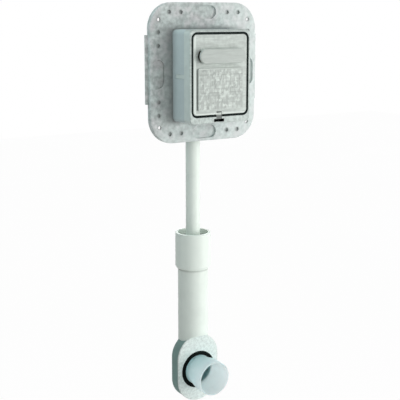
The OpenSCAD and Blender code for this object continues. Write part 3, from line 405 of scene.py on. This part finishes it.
def plaster_flange(name, tone):
    """The flange's plastic: blotched, painted paler to the right and at its foot as painted light, and
    given painted shade round the box and its holes.
    """
    paint = Paint(name)
    x, _, z = paint.axes()
    clouds = paint.noise(FLANGE_BLOTCH, CLOUDS)
    tints = paint.noise(WARM_BLOTCH, SPECKS)
    specks = paint.noise(FLANGE_GRAIN, SPECKS)
    base = paint.mottled(clouds, tone, FLANGE_FACTORS, FLANGE_SHADES)
    warm = (*(c * warmth for c, warmth in zip(tone, WARMTH)), 1)
    warmer = paint.mottled(clouds, warm, WARM_FACTORS)
    base = paint.lay(base, warmer, paint.rise(tints, *WARM_MASK))
    # Painted light: the flange is painted paler towards its right side and its foot.
    right = paint.rise(x, 0, FLANGE_HALF_W)
    foot = paint.math("MULTIPLY", paint.fall(z, FOOT_PALE, FOOT_PLAIN), FOOT_SHARE)
    base = paint.tint(base, tone, PALE, paint.math("MAXIMUM", right, foot))
    # Painted shade round the wall box, reaching furthest beside it.
    base = paint.tint(base, tone, BOX_PAINTED_SHADE, painted_box_shade(paint, x, z))
    # Painted shade round the flange's holes.
    base = paint.tint(base, tone, HOLE_PAINTED_SHADE, painted_hole_shade(paint, x, z))
    bumps = [(specks, FLANGE_DEPTH), (clouds, BLOTCH_DEPTH)]
    return paint.finish(base, paint.rough(clouds, FLANGE_ROUGH), bumps)


# The frame and the latch in its slot

FRAME_FRONT = FRAME_LOW.y
FRAME_TOP = FRAME_HIGH.z
FRAME_EDGE = 2 * MM
FRAME_BLOTCH = 9 * MM
FRONT_BLOTCH = 3 * MM
FRONT_DEPTH = 0.05 * MM
SIDE_FACTORS = (0.95, 1.05)
FRONT_FACTORS = (0.8, 1.12)
FRONT_SHADES = (0.35, 0.65)
FRAME_ROUGH = (0.35, 0.5)
TOP_SHADE_EDGE = 4 * MM
TOP_PAINTED_SHADE = (0.45, 0.6)
LATCH_LOW, LATCH_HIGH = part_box("cover_latch")
COVER_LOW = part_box("front_cover")[0]
SLOT_X = (LATCH_LOW.x + LATCH_HIGH.x) / 2
SLOT_LEVEL = FRAME_LOW.z + 3.6 * MM
SLOT_HALF_W = 8.2 * MM
SLOT_HALF_H = 2.2 * MM
SLOT_LIP = 0.15 * MM
TAB_DARK = COVER_LOW.z - 0.8 * MM
TAB_PALE = COVER_LOW.z + 0.2 * MM
TAB_FACTORS = (0.85, 1)
TAB_PALE_FACTORS = (0.9, 1.1)
TAB_ROUGH = (0.4, 0.55)


def slot_shade_mask(paint, x, y, z):
    """The slot round the latch, behind the frame's front face, as a mask for painted shade."""
    width = paint.within(x, SLOT_X, SLOT_HALF_W)
    height = paint.within(z, SLOT_LEVEL, SLOT_HALF_H)
    return paint.overlap(width, height, paint.math("GREATER_THAN", y, FRAME_FRONT + SLOT_LIP))


def framed(name, tone, front_tone):
    """The frame's plastic: sides painted paler than its textured front, painted shade along its top, and
    a slot painted black as painted shade.
    """
    paint = Paint(name)
    x, y, z = paint.axes()
    clouds = paint.noise(FRAME_BLOTCH, CLOUDS)
    specks = paint.noise(GRAIN, SPECKS)
    fine = paint.noise(FRONT_BLOTCH, LUMPS)
    # Painted light and shade: the sides take a paler tone than the greyer front.
    side = paint.mottled(clouds, tone, SIDE_FACTORS)
    front = paint.mottled(fine, front_tone, FRONT_FACTORS, FRONT_SHADES)
    base = paint.lay(side, front, paint.fall(y, FRAME_FRONT, FRAME_FRONT + FRAME_EDGE))
    # Painted shade along the frame's top edge.
    base = paint.tint(base, front_tone, TOP_PAINTED_SHADE, paint.rise(z, FRAME_TOP - TOP_SHADE_EDGE, FRAME_TOP))
    # Painted shade: the slot behind the front face is painted black.
    base = paint.lay(base, SLOT_PAINTED_SHADE, slot_shade_mask(paint, x, y, z))
    bumps = [(specks, GRAIN_DEPTH), (fine, FRONT_DEPTH)]
    return paint.finish(base, paint.rough(clouds, FRAME_ROUGH), bumps)


def tabbed(name, tone, cover_tone):
    """The latch's plastic: dark where it lies in the frame's slot, which is painted shade, and pale where
    it lies in the cover.
    """
    paint = Paint(name)
    z = paint.axes()[2]
    specks = paint.noise(GRAIN, SPECKS)
    low = paint.mottled(specks, tone, TAB_FACTORS, GRAIN_SHADES)
    high = paint.mottled(specks, cover_tone, TAB_PALE_FACTORS, GRAIN_SHADES)
    # Painted shade: the latch is dark up to where it meets the cover.
    base = paint.lay(low, high, paint.rise(z, TAB_DARK, TAB_PALE))
    return paint.finish(base, paint.rough(specks, TAB_ROUGH, WHOLE), [(specks, GRAIN_DEPTH)])


# The cover, with a raised panel, a grip, a painted shade line and a painted highlight on its edges

GRIP_FRONT = COVER_LOW.y
GRIP_FADE = 2 * MM
PANEL_FRONT = GRIP_FRONT + 5.5 * MM
PANEL_SKIN = 0.4 * MM
PANEL_LEVEL = COVER_LOW.z + 33 * MM
PANEL_HALF_W = 33.5 * MM
PANEL_HALF_H = 25.5 * MM
PANEL_DEPTH = 0.05 * MM
LINE_X = COVER_LOW.x + 5.4 * MM
LINE_HALF_W = 0.9 * MM
HIGHLIGHT_X = COVER_LOW.x + 4.1 * MM
HIGHLIGHT_LEVEL = COVER_LOW.z + 2.3 * MM
COVER_BLOTCH = 14 * MM
COVER_FACTORS = (1.05, 1.16)
COVER_ROUGH = (0.35, 0.5)

# Patterns on the cover: their size, their stretch and the noise values that they fade between
DARK_BLOT = 6 * MM
PALE_BLOT = 4.8 * MM
BLOT_STRETCH = (1.2, 1, 0.8)
DARK_MASK = (0.36, 0.48)
PALE_MASK = (0.5, 0.62)
SMUDGE = 4 * MM
SMUDGE_MASK = (0.4, 0.65)
STREAK = 2.5 * MM
STREAK_STRETCH = (0.12, 1, 1)
STREAK_MASK = (0.35, 0.65)

# Layers over the cover's plastic: the factor of their shade, and their strength
SMUDGES = (0.75, 0.35)
MARKS = (0.5, 0.8)
PALE_BLOTS = (1.4, 0.7)
GRIP = (0.86, 0.8)
STREAKS = (0.7, 0.5)
PANEL_EDGE_SHADE = (0.25, 0.7)
EDGE_PAINTED_HIGHLIGHT = (1.35, 0.8)

# Two sizes of block in the panel's relief: width, height, width of the joints, and strength
PANEL_BLOCKS = ((14 * MM, 23 * MM, 1.2 * MM, 0.45), (7 * MM, 9 * MM, 0.9 * MM, 0.35))
BLOCK_SHIFT = 0.37
JOINT_BLUR = 0.6


def block_relief(paint, x, z):
    """Soft blocks and the joints between them, in two sizes, as a height from 0 to 1."""
    flat = paint.node("ShaderNodeCombineXYZ", {"X": x, "Y": z}).outputs["Vector"]
    relief = None
    for width, row_height, joint, strength in PANEL_BLOCKS:
        sizes = {"Scale": 1, "Brick Width": width, "Row Height": row_height}
        sizes.update({"Mortar Size": joint, "Mortar Smooth": JOINT_BLUR})
        tones = {"Color1": grey(0), "Color2": grey(strength), "Mortar": grey(2 * strength)}
        blocks = paint.node("ShaderNodeTexBrick", {"Vector": flat, **sizes, **tones})
        blocks.offset = BLOCK_SHIFT
        height = blocks.outputs["Color"]
        relief = height if relief is None else paint.math("MAXIMUM", relief, height)
    return relief


def panel_marks(paint, x, y, z):
    """The dark marks and the pale blots on the panel's face, as masks."""
    width = paint.within(x, 0, PANEL_HALF_W)
    height = paint.within(z, PANEL_LEVEL, PANEL_HALF_H)
    panel = paint.overlap(width, height, paint.within(y, PANEL_FRONT, PANEL_SKIN))
    dark = paint.fall(paint.noise(DARK_BLOT, BLOTS, BLOT_STRETCH), *DARK_MASK)
    pale = paint.rise(paint.noise(PALE_BLOT, BLOTS, BLOT_STRETCH), *PALE_MASK)
    marks = paint.math("MAXIMUM", block_relief(paint, x, z), dark)
    return paint.overlap(marks, panel), paint.overlap(pale, panel)


def panel_shade_line(paint, x, z):
    """The painted shade line beside the panel's left edge, as a mask."""
    height = paint.within(z, PANEL_LEVEL, PANEL_HALF_H + LINE_HALF_W)
    return paint.overlap(paint.within(x, LINE_X, LINE_HALF_W), height)


def highlighted_edges(paint, x, z):
    """The cover's left edge and its foot, as a mask for a painted highlight."""
    left = paint.math("LESS_THAN", x, HIGHLIGHT_X)
    foot = paint.math("LESS_THAN", z, HIGHLIGHT_LEVEL)
    return paint.math("MAXIMUM", left, foot)


def panelled(name, tone):
    """The cover's plastic, with soft moulded marks on its raised panel, a painted shade line beside it
    and a painted highlight on its left edge and foot.
    """
    paint = Paint(name)
    x, y, z = paint.axes()
    clouds = paint.noise(COVER_BLOTCH, CLOUDS)
    specks = paint.noise(GRAIN, SPECKS)
    smudges = paint.rise(paint.noise(SMUDGE, LUMPS), *SMUDGE_MASK)
    streaks = paint.rise(paint.noise(STREAK, SPECKS, STREAK_STRETCH), *STREAK_MASK)
    marks, pale = panel_marks(paint, x, y, z)
    base = paint.mottled(clouds, tone, COVER_FACTORS)
    base = paint.tint(base, tone, SMUDGES, smudges)
    base = paint.tint(base, tone, MARKS, marks)
    base = paint.tint(base, tone, PALE_BLOTS, pale)
    base = paint.tint(base, tone, GRIP, paint.fall(y, GRIP_FRONT, GRIP_FRONT + GRIP_FADE))
    base = paint.tint(base, tone, STREAKS, streaks)
    # Painted shade: a dark line beside the panel's left edge.
    base = paint.tint(base, tone, PANEL_EDGE_SHADE, panel_shade_line(paint, x, z))
    # Painted highlight: the cover's left edge and foot are painted paler.
    base = paint.tint(base, tone, EDGE_PAINTED_HIGHLIGHT, highlighted_edges(paint, x, z))
    bumps = [(specks, GRAIN_DEPTH), (marks, -PANEL_DEPTH)]
    return paint.finish(base, paint.rough(clouds, COVER_ROUGH), bumps)


# The drop tube, and the connector at its foot

TUBE_BLOTCH = 25 * MM
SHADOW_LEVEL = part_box("slip_coupling")[0].z - 1.7 * MM
SHADOW_SPREAD = 2.5 * MM
COUPLING_PAINTED_SHADOW = (0.4, 0.5)
TUBE_FACTORS = (0.95, 1.02)
TUBE_ROUGH = (0.28, 0.4)
TUBE_GLOSS = 0.2
FROSTED_BLOTCH = 12 * MM
FROSTED_FACTORS = (0.95, 1)
FROSTED_ROUGH = (0.35, 0.5)
FROSTED_GRAIN = 0.5 * MM
FROSTED_DEPTH = 25 * MM
MOUTH_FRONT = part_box("connector_tube")[0].y
MOUTH_FADE = 22 * MM


def joined_tube(name, tone):
    """The drop tube's plastic, with a painted shadow line just below where the coupling ends."""
    paint = Paint(name)
    z = paint.axes()[2]
    clouds = paint.noise(TUBE_BLOTCH, CLOUDS)
    specks = paint.noise(GRAIN, SPECKS)
    base = paint.mottled(clouds, tone, TUBE_FACTORS)
    off = paint.math("ABSOLUTE", paint.math("SUBTRACT", z, SHADOW_LEVEL))
    # Painted shadow: a dark line just below the coupling's end.
    base = paint.tint(base, tone, COUPLING_PAINTED_SHADOW, paint.fall(off, 0, SHADOW_SPREAD))
    roughness = paint.rough(clouds, TUBE_ROUGH)
    return paint.finish(base, roughness, [(specks, GRAIN_DEPTH)], specular=TUBE_GLOSS)


def frosted(name, tone, mouth_light_tone):
    """Frosted polyethylene of the connector, which light soaks into, painted paler at its mouth as
    painted light.
    """
    paint = Paint(name)
    y = paint.axes()[1]
    clouds = paint.noise(FROSTED_BLOTCH, STAINS)
    grain = paint.noise(FROSTED_GRAIN, SPECKS)
    base = paint.mottled(clouds, tone, FROSTED_FACTORS)
    # Painted light: the connector is painted paler towards its mouth.
    base = paint.lay(base, mouth_light_tone, paint.fall(y, MOUTH_FRONT, MOUTH_FRONT + MOUTH_FADE))
    paint.soak(FROSTED_DEPTH)
    return paint.finish(base, paint.rough(clouds, FROSTED_ROUGH, WHOLE), [(grain, GRAIN_DEPTH)])


# A finish for each material slot: its maker, its tone and what else the maker takes

PIPE = dict(rough=(0.25, 0.38), mottle=30 * MM, contrast=0.02, gloss=TUBE_GLOSS)
SLEEVE = dict(rough=TUBE_ROUGH, mottle=20 * MM, contrast=0.025, gloss=TUBE_GLOSS)
FACE = dict(rough=(0.45, 0.6), grain=1.6 * MM, mottle=4 * MM, contrast=0.24, depth=0.1 * MM)
FOAM = dict(rough=(0.75, 0.9), grain=0.7 * MM, contrast=0.12, depth=0.1 * MM)
FINISHES = {
    "flange_plastic": (plaster_flange, FLANGE_TONE, {}),
    "box_plastic": (moulded, BOX_TONE, dict(rough=(0.4, 0.55))),
    "frame_plastic": (framed, FRAME_TONE, dict(front_tone=FRONT_TONE)),
    "cover_plastic": (panelled, COVER_TONE, {}),
    "latch_plastic": (tabbed, LATCH_TONE, dict(cover_tone=COVER_TONE)),
    "pipe_plastic": (moulded, WHITE_TONE, PIPE),
    "coupling_plastic": (moulded, WHITE_TONE, SLEEVE),
    "bend_plastic": (joined_tube, WHITE_TONE, {}),
    "face_plastic": (moulded, FACE_TONE, FACE),
    "pad_foam": (moulded, PAD_TONE, FOAM),
    "connector_plastic": (frosted, FROSTED_TONE, dict(mouth_light_tone=MOUTH_PAINTED_LIGHT)),
    "natural_plastic": (moulded, NATURAL_TONE, dict(rough=(0.35, 0.5))),
    "blue_plastic": (moulded, BLUE_TONE, dict(rough=(0.35, 0.5))),
    "black_rubber": (rubber, BLACK_TONE, {}),
    "seal_rubber": (rubber, shade(BLACK_TONE, 0.4), {}),
    "brass": (metal, BRASS_TONE, dict(rough=(0.35, 0.55))),
    "chromed_brass": (metal, CHROME_TONE, dict(rough=(0.3, 0.45))),
    "spring_steel": (metal, STEEL_TONE, dict(rough=(0.2, 0.35))),
    "screw_steel": (metal, STEEL_TONE, dict(rough=(0.25, 0.4))),
    "galvanised_steel": (metal, STEEL_TONE, dict(rough=(0.35, 0.6), stretch=EVEN)),
}
paints = {slot: maker(slot, tone, **details) for slot, (maker, tone, details) in FINISHES.items()}
own_paints = {"coupling_seal": rubber("grey_rubber", GREY_TONE)}

for row in frame["record"]["subparts"]:
    node = frame["nodes"][row["node"]]
    node.data.materials.clear()
    node.data.materials.append(own_paints.get(row["node"], paints[row["material_slot"]]))


def add_object(name, data):
    """A new object in the scene."""
    made = bpy.data.objects.new(name, data)
    bpy.context.scene.collection.objects.link(made)
    return made


# Springs, copied onto the wall box


def sprung(node):
    """Puts a smooth-shaded copy of a CAD spring in its place, on the wall box, and hides the CAD spring.
    """
    spring = add_object(f"{node}_coil", frame["nodes"][node].data.copy())
    for face in spring.data.polygons:
        face.use_smooth = True
    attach(spring, "wall_box")
    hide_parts(node)
    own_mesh(spring)


sprung("main_spring")
sprung("rod_spring")

# A pale floor far below, which keeps a little of its shadow, and soft studio light

FLOOR_DROP = 0.45
FLOOR_HALF = 6.0
FLOOR_BLOTCH = 0.6
FLOOR_WHITE = 0.97
LOBES = (((0, -1, 0), 1.36), ((1, 0, 0), 0.9), ((0, 0, 1), 0.75))
LOBE_FALLOFF = 8
SET_CENTRE = (0, 0, -0.15)
NEUTRAL = (1, 1, 1)
COOL = (0.78, 0.97, 1)

# The lamps: name, place, width and height in metres, power in watts, and tint
LAMPS = (
    ("key", (0.746, -0.855, -0.335), 0.5, 0.7, 5.1, NEUTRAL),
    ("right_fill", (0.6, -0.6, 0.35), 0.4, 0.4, 1.56, NEUTRAL),
    ("left_fill", (-0.42, 0.02, 0.32), 0.25, 0.25, 1.05, COOL),
    ("back_fill", (0.45, 1.0, 0.3), 0.5, 0.5, 3, NEUTRAL),
)


def show_white(tree, lit, kind, output, share):
    """Lets the camera, mirrors and glass see white in place of a share of what is lit."""
    rays = tree.nodes.new("ShaderNodeLightPath").outputs
    seen = math_node(tree, "MAXIMUM", rays["Is Camera Ray"], rays["Is Glossy Ray"])
    seen = math_node(tree, "MAXIMUM", seen, rays["Is Transmission Ray"])
    white = add_node(tree, kind, {"Color": grey(1), "Strength": 1})
    mixer = add_node(tree, "ShaderNodeMixShader", {"Fac": math_node(tree, "MULTIPLY", seen, share)})
    put(tree, lit.outputs[0], mixer.inputs[1])
    put(tree, white.outputs[0], mixer.inputs[2])
    put(tree, mixer.outputs[0], tree.nodes[output].inputs["Surface"])


def make_floor():
    """A wide pale floor below the set."""
    level = CAD_BOX[0].z - FLOOR_DROP
    signs = ((-1, -1), (1, -1), (1, 1), (-1, 1))
    mesh = bpy.data.meshes.new("floor")
    mesh.from_pydata([(x * FLOOR_HALF, y * FLOOR_HALF, level) for x, y in signs], [], [(0, 1, 2, 3)])
    floor = add_object("floor", mesh)
    paint = Paint("floor_paint")
    clouds = paint.noise(FLOOR_BLOTCH, LUMPS)
    paint.finish(paint.ramp(clouds, list(zip(MOST, (FLOOR_TONE, FLOOR_LIGHT)))), clouds)
    show_white(paint.tree, paint.shader, "ShaderNodeEmission", "Material Output", FLOOR_WHITE)
    mesh.materials.append(paint.material)


def make_world():
    """Soft light from wide lobes, each a direction and a strength, on a white background."""
    world = bpy.data.worlds.new("studio")
    bpy.context.scene.world = world
    world.use_nodes = True
    tree = world.node_tree
    direction = tree.nodes.new("ShaderNodeTexCoord").outputs["Generated"]
    light = 0
    for toward, strength in LOBES:
        facing = tree.nodes.new("ShaderNodeVectorMath")
        facing.operation = "DOT_PRODUCT"
        put(tree, direction, facing.inputs[0])
        put(tree, toward, facing.inputs[1])
        nearness = math_node(tree, "MULTIPLY_ADD", facing.outputs["Value"], 0.5, 0.5)
        glow = math_node(tree, "POWER", nearness, LOBE_FALLOFF)
        light = math_node(tree, "MULTIPLY_ADD", glow, strength, light)
    soft = tree.nodes["Background"]
    put(tree, grey(1), soft.inputs["Color"])
    put(tree, light, soft.inputs["Strength"])
    show_white(tree, soft, "ShaderNodeBackground", "World Output", 1)


def make_lamp(name, spot, width, height, power, tint):
    """A soft box that points at the middle of the set."""
    data = bpy.data.lights.new(name, "AREA")
    data.shape = "RECTANGLE"
    data.size = width
    data.size_y = height
    data.energy = power
    data.color = tint
    light = add_object(name, data)
    light.location = spot
    light.rotation_euler = (Vector(SET_CENTRE) - Vector(spot)).to_track_quat("-Z", "Y").to_euler()
    light.visible_camera = False


make_floor()
make_world()
for lamp in LAMPS:
    make_lamp(*lamp)

# Camera, at the photograph's viewing angle

CAMERA_PLACE = (-0.6464, -1.0146, 0.0750)
CAMERA_YAW = 32.5
CAMERA_PITCH = 11.72
LENS = 80.2
SENSOR = 36

camera_data = bpy.data.cameras.new("camera")
camera_data.sensor_width = SENSOR
camera_data.lens = LENS
camera = add_object("camera", camera_data)
camera.location = CAMERA_PLACE
camera.rotation_euler = (math.radians(90 - CAMERA_PITCH), 0, math.radians(-CAMERA_YAW))
bpy.context.scene.camera = camera
bpy.context.scene.view_settings.view_transform = "Standard"
